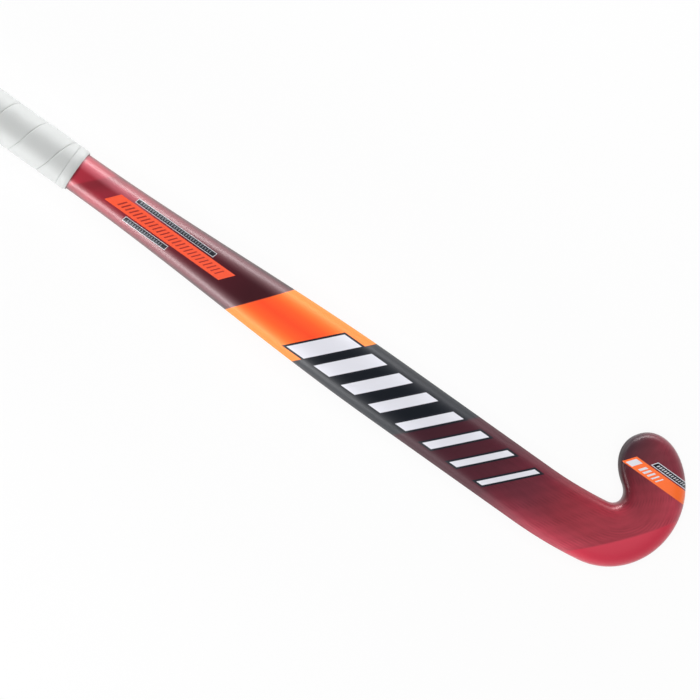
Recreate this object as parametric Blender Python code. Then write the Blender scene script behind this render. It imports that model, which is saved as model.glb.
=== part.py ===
"""Indoor hockey stick: laminated mulberry core in a fibre composite sleeve, with a spiral wound grip.

The stick lies on its playing side, as it would on a bench. +X runs from the butt to the head, +Y is
the side that the toe points to, and +Z leaves the rounded back. The origin is the middle of the
stick's footprint, at the height of the bench. All sizes are in metres.

The whole stick is one path with a D-shaped section. A place on it is given by three numbers:
along, the distance along the path from the butt; across, to the crook's side of the path; and
above, the height over the flat playing side.
"""

import math

import bmesh
import bpy

# Overall
LENGTH = 0.927
BOW_DEPTH = 0.020
BOW_PEAK_FROM_BASE = 0.340
FLAT_HEAD_LENGTH = 0.100

# Handle and shaft, outside of the sleeve
HANDLE_WIDTH = 0.031
HANDLE_DEPTH = 0.027
HANDLE_EDGE_RADIUS = 0.010
FLARE_LENGTH = 0.285
SHAFT_WIDTH = 0.0498
SHAFT_DEPTH = 0.0215
SHAFT_EDGE_RADIUS = 0.0045
SHAFT_CROWN_POWER = 2.2

# Hook of the head
LEAD_IN_RADIUS = 0.340
LEAD_IN_TURN = math.radians(9.0)
HEEL_BEND_RADIUS = 0.0325
TOE_BEND_RADIUS = 0.0363
TOE_TURN = math.radians(55.5)
HEEL_WIDTH = 0.0462
TOE_WIDTH = 0.0482
HEAD_DEPTH = 0.0200
TOE_DEPTH = 0.0190
HEAD_EDGE_RADIUS = 0.0040
TOE_REACH = 0.0310
TOE_OUTLINE_POWER = 2.16
HEAD_CROWN_POWER = 3.3
TOE_CROWN_POWER = 3.8

# Sleeve and what fills it
SLEEVE_WALL = 0.0013
TOUCH_GAP = 0.0003
GLUE_LINE = 0.0004
STRIP_THICKNESS = 0.0008
STRIP_EDGE_MARGIN = 0.0010
STRIP_TOE_GAP = 0.0093
PLY_COUNT = 6
CORE_EDGE_GAP = 0.00035
CORE_TOE_GAP = 0.0030
SPLICE_TIP_FROM_BASE = 0.200
SPLICE_STEEPNESS = 6.5
CENTRE_STAVE_WIDTH = 0.0090
SLIP_THICKNESS = 0.0015

# Grip
GRIP_LENGTH = 0.400
TAPE_THICKNESS = 0.0017
TAPE_SHOULDER = 0.0006
TAPE_SHOULDER_WIDTH = 0.0015
TAPE_WIDTH = 0.0256
TAPE_SEAM = 0.0008
TAPE_POINT = 0.0030
TAPE_START_TURN = 0.70
FINISH_TAPE_WIDTH = 0.0080
FINISH_TAPE_THICKNESS = 0.0008

# Butt cap
CAP_FLANGE = 0.0030
CAP_LIP = 0.0005
CAP_ROUND = 0.0012
CAP_STEM = 0.0120

# How finely curves are faceted
FLAT_STEPS = 2
EDGE_STEPS = 4
CROWN_STEPS = 14
RING_POINTS = FLAT_STEPS + 2 * EDGE_STEPS + CROWN_STEPS
FLARE_STEPS = 10
LOWER_SHAFT_STEPS = 5
LEAD_IN_STEPS = 4
HEEL_STEPS = 12
TOE_BEND_STEPS = 8
TOE_STEPS = 8
RAMP_STEPS = 4
RIM_STEPS = 3
OUTER_LANE_STEPS = 4
INNER_LANE_STEPS = 2
OUTLINE_SAMPLES = 60
SETTLING_ROUNDS = 12
SMOOTH_UP_TO = math.radians(35)
CIRCLE = 2

# Places along the path
SHAFT_END = (
    LENGTH
    - HEEL_WIDTH / 2
    - LEAD_IN_RADIUS * math.sin(LEAD_IN_TURN)
    - HEEL_BEND_RADIUS * (1 - math.sin(LEAD_IN_TURN))
)
BENDS = (
    (LEAD_IN_RADIUS, LEAD_IN_TURN),
    (HEEL_BEND_RADIUS, math.pi / 2 - LEAD_IN_TURN),
    (TOE_BEND_RADIUS, TOE_TURN),
)
HEEL_START = SHAFT_END + LEAD_IN_RADIUS * LEAD_IN_TURN
HEEL_END = HEEL_START + HEEL_BEND_RADIUS * (math.pi / 2 - LEAD_IN_TURN)
TOE_START = HEEL_END + TOE_BEND_RADIUS * TOE_TURN
FLARE_END = GRIP_LENGTH + FLARE_LENGTH
SLEEVE_START = CAP_FLANGE + TOUCH_GAP
CORE_START = CAP_FLANGE + CAP_STEM + TOUCH_GAP
SPLICE_TIP = LENGTH - SPLICE_TIP_FROM_BASE
TAPE_END = GRIP_LENGTH - FINISH_TAPE_WIDTH - TOUCH_GAP
TAPE_PITCH = TAPE_WIDTH + TAPE_SEAM

# Depths from the outer skin, positive inwards
CORE_SKIN = SLEEVE_WALL + GLUE_LINE
STRIP_BOTTOM = SLEEVE_WALL + TOUCH_GAP
STRIP_TOP = STRIP_BOTTOM + STRIP_THICKNESS
CORE_FLOOR = STRIP_TOP + TOUCH_GAP
TAPE_INSIDE = -TOUCH_GAP
TAPE_OUTSIDE = TAPE_INSIDE - TAPE_THICKNESS
CAP_OUTSIDE = TAPE_OUTSIDE - CAP_LIP

# Finishes: colour, roughness
FINISHES = {
    "lacquered_composite": ((0.42, 0.035, 0.065), 0.22),
    "mulberry": ((0.58, 0.38, 0.19), 0.55),
    "handle_cane": ((0.72, 0.55, 0.33), 0.60),
    "damper_rubber": ((0.03, 0.03, 0.032), 0.80),
    "carbon": ((0.02, 0.02, 0.022), 0.35),
    "grip_polyurethane": ((0.78, 0.79, 0.79), 0.60),
    "finishing_tape": ((0.88, 0.88, 0.87), 0.45),
    "end_cap_rubber": ((0.70, 0.71, 0.71), 0.65),
}


def clear_scene():
    """Remove whatever objects the opened file holds."""
    for item in list(bpy.data.objects):
        bpy.data.objects.remove(item, do_unlink=True)


def new_collection(name):
    """Return an empty collection of this name, linked to the scene."""
    collection = bpy.data.collections.new(name)
    bpy.context.scene.collection.children.link(collection)
    return collection


def make_materials():
    """Return one Principled material for each finish."""
    materials = {}
    for name, (colour, roughness) in FINISHES.items():
        material = bpy.data.materials.new(name)
        material.use_nodes = True
        shader = material.node_tree.nodes["Principled BSDF"]
        shader.inputs["Base Color"].default_value = (*colour, 1.0)
        shader.inputs["Roughness"].default_value = roughness
        shader.inputs["Metallic"].default_value = 0.0
        materials[name] = material
    return materials


def mix(low, high, share):
    """Return the value that lies this share of the way from low to high."""
    return low + (high - low) * share


def ease(share):
    """Return a share that starts and ends gently, held between 0 and 1."""
    share = min(max(share, 0.0), 1.0)
    return share * share * (3 - 2 * share)


def spaced(start, end, count):
    """Return count + 1 evenly spaced values from start to end."""
    return [mix(start, end, step / count) for step in range(count + 1)]


def rounding(share, power):
    """Return the height of a rounded end, 1 at share 0 and 0 at share 1."""
    return (1 - min(abs(share), 1) ** power) ** (1 / power)


def path(along):
    """Return the path's place in the plane of the face, from the butt, and how far it has turned."""
    reach, side, turned = min(along, SHAFT_END), 0.0, 0.0
    left = along - SHAFT_END
    for radius, turn in BENDS:
        if left <= 0:
            break
        part = min(left / radius, turn)
        reach += radius * (math.sin(turned + part) - math.sin(turned))
        side += radius * (math.cos(turned) - math.cos(turned + part))
        turned += part
        left -= radius * turn
    if left > 0:
        reach += left * math.cos(turned)
        side += left * math.sin(turned)
    return reach, side, turned


def plain_size(along):
    """Return half the width, the depth and the edge radius, as if the toe ran on without an end."""
    flare = ease((along - GRIP_LENGTH) / FLARE_LENGTH)
    heel = ease((along - HEEL_START) / (HEEL_END - HEEL_START))
    toe = ease((along - HEEL_END) / (TOE_START - HEEL_END))
    width = mix(mix(mix(HANDLE_WIDTH, SHAFT_WIDTH, flare), HEEL_WIDTH, heel), TOE_WIDTH, toe)
    depth = mix(mix(mix(HANDLE_DEPTH, SHAFT_DEPTH, flare), HEAD_DEPTH, heel), TOE_DEPTH, toe)
    edge = mix(mix(HANDLE_EDGE_RADIUS, SHAFT_EDGE_RADIUS, flare), HEAD_EDGE_RADIUS, heel)
    return width / 2, depth, edge


def size_at(along, inset=0.0):
    """Return half the width, the bottom, the edge's height and the top of a skin inside the outer one."""
    half, depth, edge = plain_size(along)
    half, bottom, level, top = half - inset, inset, edge, depth - inset
    past_toe_start = along - TOE_START
    if past_toe_start > 0:
        reach = TOE_REACH - inset
        share = past_toe_start / reach
        half *= rounding(share, TOE_OUTLINE_POWER)
        top = level + (top - level) * rounding(share, TOE_CROWN_POWER)
        edge_start = reach - (level - inset)
        if past_toe_start > edge_start:
            share = (past_toe_start - edge_start) / (reach - edge_start)
            bottom = level - (level - inset) * rounding(share, CIRCLE)
    return half, bottom, level, top


def crown_power(along):
    """Return how square the rounded back is: the shaft's is nearly round, the head's is flatter."""
    near_head = ease((along - SPLICE_TIP) / (HEEL_START - SPLICE_TIP))
    return mix(SHAFT_CROWN_POWER, HEAD_CROWN_POWER, near_head)


def section(along, inset=0.0):
    """Return the points of the D-shaped section, as (across, above), once round from the flat."""
    half, bottom, level, top = size_at(along, inset)
    power = crown_power(along)
    radius = min(level - bottom, half)
    flat = half - radius
    points = [(mix(-flat, flat, step / FLAT_STEPS), bottom) for step in range(FLAT_STEPS)]
    for step in range(EDGE_STEPS):
        angle = math.pi / 2 * step / EDGE_STEPS
        points.append((flat + radius * math.sin(angle), level - (level - bottom) * math.cos(angle)))
    for step in range(CROWN_STEPS):
        angle = math.pi * step / CROWN_STEPS
        side = math.copysign(abs(math.cos(angle)) ** (CIRCLE / power), math.cos(angle))
        rise = math.sin(angle) ** (CIRCLE / power)
        points.append((half * side, mix(level, top, rise)))
    for step in range(EDGE_STEPS):
        angle = math.pi / 2 * step / EDGE_STEPS
        points.append((-flat - radius * math.cos(angle), level - (level - bottom) * math.sin(angle)))
    return points


def top_above(along, across, inset):
    """Return the height of the rounded back over one line of a skin."""
    half, _, level, top = size_at(along, inset)
    return mix(level, top, rounding(across / half, crown_power(along)))


def bottom_above(along, across, inset):
    """Return the height of the flat, or of its rounded edge, under one line of a skin."""
    half, bottom, level, _ = size_at(along, inset)
    radius = min(level - bottom, half)
    past_flat = max(0.0, abs(across) - (half - radius))
    return level - (level - bottom) * rounding(past_flat / radius, CIRCLE)


def solve_bow():
    """Return the head's slope, the bend's curvature and where the bend ends.

    The head is straight, the middle bends at one steady rate and the handle is straight. The bow is
    the height of the flat side over the bench, on which the flat's end and the butt cap rest.
    """
    slope = BOW_DEPTH / ((FLAT_HEAD_LENGTH + BOW_PEAK_FROM_BASE) / 2 - HEAD_EDGE_RADIUS)
    curvature = slope / (BOW_PEAK_FROM_BASE - FLAT_HEAD_LENGTH)
    beyond = LENGTH - BOW_PEAK_FROM_BASE
    drop = BOW_DEPTH + CAP_OUTSIDE
    past_peak = beyond - math.sqrt(beyond**2 - 2 * drop / curvature)
    return slope, curvature, BOW_PEAK_FROM_BASE + past_peak


HEAD_SLOPE, BOW_CURVATURE, BOW_END = solve_bow()


def bow(from_base):
    """Return the flat side's height over the bench and its slope, at a distance from the base."""
    bent = min(max(from_base - FLAT_HEAD_LENGTH, 0.0), BOW_END - FLAT_HEAD_LENGTH)
    slope = HEAD_SLOPE - BOW_CURVATURE * bent
    height = HEAD_SLOPE * (min(from_base, FLAT_HEAD_LENGTH) - HEAD_EDGE_RADIUS)
    height += (HEAD_SLOPE + slope) / 2 * bent
    height += slope * max(from_base - BOW_END, 0.0)
    return height, slope


def farthest_side():
    """Return how far the toe reaches from the shaft's middle line."""
    reached = 0.0
    for along in spaced(HEEL_END, TOE_START + TOE_REACH, OUTLINE_SAMPLES):
        _, side, turned = path(along)
        half = size_at(along)[0]
        reached = max(reached, side - half * math.cos(turned))
    return reached


SIDE_CENTRE = (farthest_side() - SHAFT_WIDTH / 2) / 2


def place(along, across, above):
    """Return the point in space for a place on the stick."""
    reach, side, turned = path(along)
    reach -= across * math.sin(turned)
    side += across * math.cos(turned)
    height, slope = bow(LENGTH - reach)
    upright = 1 / math.sqrt(1 + slope * slope)
    return (
        reach - LENGTH / 2 + above * slope * upright,
        side - SIDE_CENTRE,
        height + above * upright,
    )


def ring_at(along, inset=0.0):
    """Return one closed ring of points on a skin."""
    return [place(along, across, above) for across, above in section(along, inset)]


def add_object(name, mesh_data, material, collection):
    """Make a named object from a bmesh, with its normals facing out."""
    bmesh.ops.recalc_face_normals(mesh_data, faces=mesh_data.faces)
    mesh = bpy.data.meshes.new(name)
    mesh_data.to_mesh(mesh)
    mesh_data.free()
    mesh.materials.append(material)
    mesh.shade_smooth()
    mesh.set_sharp_from_angle(angle=SMOOTH_UP_TO)
    item = bpy.data.objects.new(name, mesh)
    collection.objects.link(item)
    return item


def bridge(mesh_data, first, second):
    """Join two rings of vertices with a band of faces."""
    count = len(first)
    for index in range(count):
        following = (index + 1) % count
        mesh_data.faces.new((first[index], first[following], second[following], second[index]))


def loft(rings):
    """Return a closed solid through rings of points, with a flat cap on each end."""
    solid = bmesh.new()
    loops = [[solid.verts.new(point) for point in ring] for ring in rings]
    for first, second in zip(loops, loops[1:]):
        bridge(solid, first, second)
    solid.faces.new(reversed(loops[0]))
    solid.faces.new(loops[-1])
    return solid


def skin_stations(start):
    """Return the places along the path of the sleeve's rings, up to where the toe rounds off."""
    places = spaced(start, GRIP_LENGTH, 1)
    places += spaced(GRIP_LENGTH, FLARE_END, FLARE_STEPS)[1:]
    places += spaced(FLARE_END, SHAFT_END, LOWER_SHAFT_STEPS)[1:]
    places += spaced(SHAFT_END, HEEL_START, LEAD_IN_STEPS)[1:]
    places += spaced(HEEL_START, HEEL_END, HEEL_STEPS)[1:]
    places += spaced(HEEL_END, TOE_START, TOE_BEND_STEPS)[1:]
    return places


def toe_stations(inset):
    """Return the places along the path of the rings that round off the toe, closer near its end."""
    reach = TOE_REACH - inset
    return [
        TOE_START + reach * math.sin(math.pi / 2 * step / TOE_STEPS) for step in range(1, TOE_STEPS)
    ]


def make_sleeve(material, collection):
    """The fibre composite sleeve: one wall over the whole stick, closed at the toe, open at the butt."""
    solid = bmesh.new()
    mouths = []
    for inset in (0.0, SLEEVE_WALL):
        places = skin_stations(SLEEVE_START) + toe_stations(inset)
        loops = [[solid.verts.new(point) for point in ring_at(along, inset)] for along in places]
        for first, second in zip(loops, loops[1:]):
            bridge(solid, first, second)
        end = TOE_START + TOE_REACH - inset
        tip = solid.verts.new(place(end, 0.0, size_at(end, inset)[2]))
        last = loops[-1]
        for index, vertex in enumerate(last):
            solid.faces.new((vertex, last[(index + 1) % len(last)], tip))
        mouths.append(loops[0])
    bridge(solid, *mouths)
    return add_object("composite_sleeve", solid, material, collection)


def settled(cut, lane, share):
    """Return where a line of a core piece meets a slanted cut, which depends on how wide it is there."""
    along = SPLICE_TIP
    for _ in range(SETTLING_ROUNDS):
        along = cut(lane(along, share))
    return along


def core_half(along):
    """Return half the width that the core may fill."""
    return plain_size(along)[0] - CORE_SKIN - CORE_EDGE_GAP


def make_core_piece(name, lane, shares, cuts, common, heights, material, collection):
    """A piece of the core: lanes side by side along the path, between a bottom and a top.

    lane(along, share) is the place across of one line, cuts are the two ends as functions of the place
    across, common lists the places along the path that every line shares, and heights gives the bottom
    and the top over a place.
    """
    lines = []
    for share in shares:
        first, last = (settled(cut, lane, share) for cut in cuts)
        stops = spaced(first, common[0], RAMP_STEPS)[:-1] + common
        stops += spaced(common[-1], last, RAMP_STEPS)[1:]
        lines.append([(along, lane(along, share)) for along in stops])
    rings = []
    for row in zip(*lines):
        low = [place(along, across, heights(along, across)[0]) for along, across in row]
        high = [place(along, across, heights(along, across)[1]) for along, across in reversed(row)]
        rings.append(low + high)
    return add_object(name, loft(rings), material, collection)


def core_heights(along, across):
    """Return the bottom and the top of the core over a place."""
    bottom = max(CORE_FLOOR, bottom_above(along, across, CORE_SKIN))
    return bottom, top_above(along, across, CORE_SKIN)


def splice_cut(side):
    """Return the V of the splice as a function of the place across, moved half a gap to one side."""
    gap = TOUCH_GAP / 2 * math.hypot(1, SPLICE_STEEPNESS)
    return lambda across: SPLICE_TIP - SPLICE_STEEPNESS * abs(across) + side * gap


def core_toe_cut(across):
    """Return where a line of the head ends inside the toe."""
    share = across / (TOE_WIDTH / 2 - CORE_SKIN)
    filled = TOE_REACH - CORE_SKIN - CORE_TOE_GAP
    return TOE_START + filled * rounding(share, TOE_OUTLINE_POWER)


def make_head_plies(material, collection):
    """The laminated head: plies bent round the hook, split by the splice at their upper ends."""
    common = [along for along in skin_stations(SLEEVE_START) if along > SPLICE_TIP + GLUE_LINE]
    for number in range(PLY_COUNT):
        edges = spaced(-1, 1, PLY_COUNT)[number : number + 2]

        def lane(along, share, edges=edges):
            half = core_half(along)
            gaps = [TOUCH_GAP / 2 if abs(edge) < 1 else 0.0 for edge in edges]
            return mix(half * edges[0] + gaps[0], half * edges[1] - gaps[1], share)

        outer = max(abs(edge) for edge in edges) == 1
        shares = spaced(0, 1, OUTER_LANE_STEPS if outer else INNER_LANE_STEPS)
        cuts = (splice_cut(1), core_toe_cut)
        name = f"head_ply_{number + 1}"
        make_core_piece(name, lane, shares, cuts, common, core_heights, material, collection)


def make_handle_core(stave_material, slip_material, collection):
    """The spliced handle: three staves with a rubber slip on each side of the middle one."""
    centre = CENTRE_STAVE_WIDTH / 2
    slip = centre + TOUCH_GAP + SLIP_THICKNESS
    side = slip + TOUCH_GAP
    splice_top = SPLICE_TIP - SPLICE_STEEPNESS * SHAFT_WIDTH / 2
    common = [along for along in skin_stations(CORE_START) if CORE_START < along < splice_top]
    outer, inner = OUTER_LANE_STEPS, INNER_LANE_STEPS
    pieces = (
        ("handle_stave_heel_side", lambda a: -core_half(a), lambda a: -side, outer, stave_material),
        ("damper_slip_heel_side", lambda a: -slip, lambda a: -centre - TOUCH_GAP, 1, slip_material),
        ("handle_stave_centre", lambda a: -centre, lambda a: centre, inner, stave_material),
        ("damper_slip_toe_side", lambda a: centre + TOUCH_GAP, lambda a: slip, 1, slip_material),
        ("handle_stave_toe_side", lambda a: side, lambda a: core_half(a), outer, stave_material),
    )
    cuts = (lambda across: CORE_START, splice_cut(-1))
    for name, low, high, steps, material in pieces:

        def lane(along, share, low=low, high=high):
            return mix(low(along), high(along), share)

        shares = spaced(0, 1, steps)
        make_core_piece(name, lane, shares, cuts, common, core_heights, material, collection)


def make_face_strip(material, collection):
    """The carbon strip that stiffens the playing side, between the sleeve and the core."""
    end = TOE_START + TOE_REACH - STRIP_TOE_GAP
    common = [along for along in skin_stations(CORE_START) if along > CORE_START]

    def lane(along, share):
        half, bottom, level, _ = size_at(along)
        flat = half - (level - bottom) - STRIP_EDGE_MARGIN
        return mix(-flat, flat, share)

    cuts = (lambda across: CORE_START, lambda across: end)
    shares = spaced(0, 1, 1)

    def heights(along, across):
        return STRIP_BOTTOM, STRIP_TOP

    make_core_piece("face_strip", lane, shares, cuts, common, heights, material, collection)


def make_grip_tape(material, collection):
    """The grip: one strip wound round the handle, with a long point at each end of the winding."""
    insets = (TAPE_INSIDE, TAPE_OUTSIDE + TAPE_SHOULDER, TAPE_OUTSIDE)
    around = [section(GRIP_LENGTH / 2, inset) for inset in insets]
    travel = TAPE_END - SLEEVE_START + TAPE_WIDTH - 2 * TAPE_POINT
    count = round(travel / TAPE_PITCH * RING_POINTS)
    first = round(TAPE_START_TURN * RING_POINTS)
    rings, near_edges, far_edges = [], [], []
    for step in range(count + 1):
        index = (first - step) % RING_POINTS
        front = SLEEVE_START + TAPE_POINT + TAPE_PITCH * step / RING_POINTS
        far = min(front, TAPE_END)
        near = max(front - TAPE_WIDTH, SLEEVE_START)
        shoulder = min(TAPE_SHOULDER_WIDTH, (far - near) / 4)
        inner, middle, outer = (ring[index] for ring in around)
        rings.append(
            [
                place(near, *inner),
                place(far, *inner),
                place(far, *middle),
                place(far - shoulder, *outer),
                place(near + shoulder, *outer),
                place(near, *middle),
            ]
        )
        near_edges.append(place(near, *inner))
        far_edges.append(place(far, *inner))
    later = near_edges[RING_POINTS:]
    gap = min(math.dist(far, near) for far, near in zip(far_edges, later))
    print(f"grip tape: {count / RING_POINTS:.1f} turns, least gap to itself {gap * 1000:.2f} mm")
    return add_object("grip_tape", loft(rings), material, collection)


def make_finishing_tape(material, collection):
    """The white band that holds the end of the grip, sloping down to the painted shaft."""
    start, end = GRIP_LENGTH - FINISH_TAPE_WIDTH, GRIP_LENGTH
    thin = TAPE_INSIDE - FINISH_TAPE_THICKNESS
    solid = bmesh.new()
    corners = ((start, TAPE_INSIDE), (start, TAPE_OUTSIDE), (end, thin), (end, TAPE_INSIDE))
    loops = [[solid.verts.new(point) for point in ring_at(*corner)] for corner in corners]
    for first, second in zip(loops, loops[1:] + loops[:1]):
        bridge(solid, first, second)
    return add_object("finishing_tape", solid, material, collection)


def make_butt_cap(material, collection):
    """The end cap: a stem inside the sleeve and a flange with a rounded rim over all the ends."""
    corners = [
        (CAP_ROUND * (1 - math.sin(angle)), CAP_OUTSIDE + CAP_ROUND * (1 - math.cos(angle)))
        for angle in spaced(math.pi / 2, 0, RIM_STEPS)
    ]
    corners.append((CAP_FLANGE, CAP_OUTSIDE))
    corners.append((CAP_FLANGE, CORE_SKIN))
    corners.append((CAP_FLANGE + CAP_STEM, CORE_SKIN))
    rings = [ring_at(*corner) for corner in corners]
    return add_object("butt_cap", loft(rings), material, collection)


def main():
    """Build every piece of the stick."""
    clear_scene()
    collection = new_collection("indoor_hockey_stick")
    materials = make_materials()
    make_sleeve(materials["lacquered_composite"], collection)
    make_head_plies(materials["mulberry"], collection)
    make_handle_core(materials["handle_cane"], materials["damper_rubber"], collection)
    make_face_strip(materials["carbon"], collection)
    make_grip_tape(materials["grip_polyurethane"], collection)
    make_finishing_tape(materials["finishing_tape"], collection)
    make_butt_cap(materials["end_cap_rubber"], collection)


main()
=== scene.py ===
"""Looks of the indoor hockey stick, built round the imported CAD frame.

The stick lies on its playing side on a pale floor, with the rounded back up. The sleeve, the grip,
the finishing tape and the butt cap are remade finely, and the hidden core keeps its CAD meshes and
gets its woods, rubber and carbon. Shapes are in metres; the print is laid out in millimetres.
"""

import logging
import math
from dataclasses import dataclass
from enum import Enum
from typing import Any, Callable, Iterable, Optional, Sequence, Union

import bmesh
import bpy
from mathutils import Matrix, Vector


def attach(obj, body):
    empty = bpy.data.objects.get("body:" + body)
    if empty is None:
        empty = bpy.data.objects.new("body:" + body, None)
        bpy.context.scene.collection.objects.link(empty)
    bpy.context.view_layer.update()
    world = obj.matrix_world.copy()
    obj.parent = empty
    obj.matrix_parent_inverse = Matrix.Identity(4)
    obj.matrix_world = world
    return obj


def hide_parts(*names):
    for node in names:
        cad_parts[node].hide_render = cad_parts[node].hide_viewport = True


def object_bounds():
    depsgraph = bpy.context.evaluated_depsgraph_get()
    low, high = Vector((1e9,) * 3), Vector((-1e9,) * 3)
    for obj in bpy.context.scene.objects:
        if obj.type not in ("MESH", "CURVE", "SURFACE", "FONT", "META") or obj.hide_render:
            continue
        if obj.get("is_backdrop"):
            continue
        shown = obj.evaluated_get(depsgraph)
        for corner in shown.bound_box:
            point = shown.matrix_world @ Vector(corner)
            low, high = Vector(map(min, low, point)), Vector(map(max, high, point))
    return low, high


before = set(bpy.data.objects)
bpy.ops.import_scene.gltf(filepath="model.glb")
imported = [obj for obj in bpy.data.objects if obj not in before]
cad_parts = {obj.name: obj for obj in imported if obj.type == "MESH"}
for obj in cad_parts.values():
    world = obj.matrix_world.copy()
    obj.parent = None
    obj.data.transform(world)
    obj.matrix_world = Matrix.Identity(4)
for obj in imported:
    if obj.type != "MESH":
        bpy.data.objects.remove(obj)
CAD_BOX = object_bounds()

BODY = "root"
WELD = 1e-6
MM = 1000.0

log = logging.getLogger("hockey_stick")

Colour = tuple[float, float, float]
Place = tuple[float, float, float]
Span = tuple[float, float]
Stops = Sequence[tuple[float, tuple[int, int, int]]]
Value = Union["Signal", float, Sequence[float]]


def srgb(red: int, green: int, blue: int) -> Colour:
    """Return a linear colour for one that is seen on a screen.

    Args:
        red: Red from 0 to 255.
        green: Green from 0 to 255.
        blue: Blue from 0 to 255.

    Returns:
        The linear red, green and blue.
    """
    seen = (channel / 255 for channel in (red, green, blue))
    return tuple(c / 12.92 if c <= 0.04045 else ((c + 0.055) / 1.055) ** 2.4 for c in seen)


def mix(low: float, high: float, share: float) -> float:
    """Return the value that lies this share of the way from low to high."""
    return low + (high - low) * share


def ease(share: float) -> float:
    """Return a share that starts and ends gently, held between 0 and 1."""
    share = min(max(share, 0.0), 1.0)
    return share * share * (3 - 2 * share)


def rounding(share: float, power: float) -> float:
    """Return the height of a rounded end, 1 at share 0 and 0 at share 1."""
    return (1 - min(abs(share), 1) ** power) ** (1 / power)


def spaced(start: float, end: float, count: int) -> list[float]:
    """Return count + 1 evenly spaced values from start to end."""
    return [mix(start, end, step / count) for step in range(count + 1)]


def quarter(count: int) -> list[float]:
    """Return count + 1 evenly spaced angles from 0 to a right angle."""
    return spaced(0.0, math.pi / 2, count)


# Shape of the stick


class Columns(Enum):
    """How many columns a skin has on the flat, on each rounded edge and on the rounded back."""

    SLEEVE = (8, 8, 60)
    HANDLE = (6, 12, 42)

    @property
    def total(self) -> int:
        """Return how many columns go once round."""
        flat, edge, crown = self.value
        return flat + 2 * edge + crown


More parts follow.
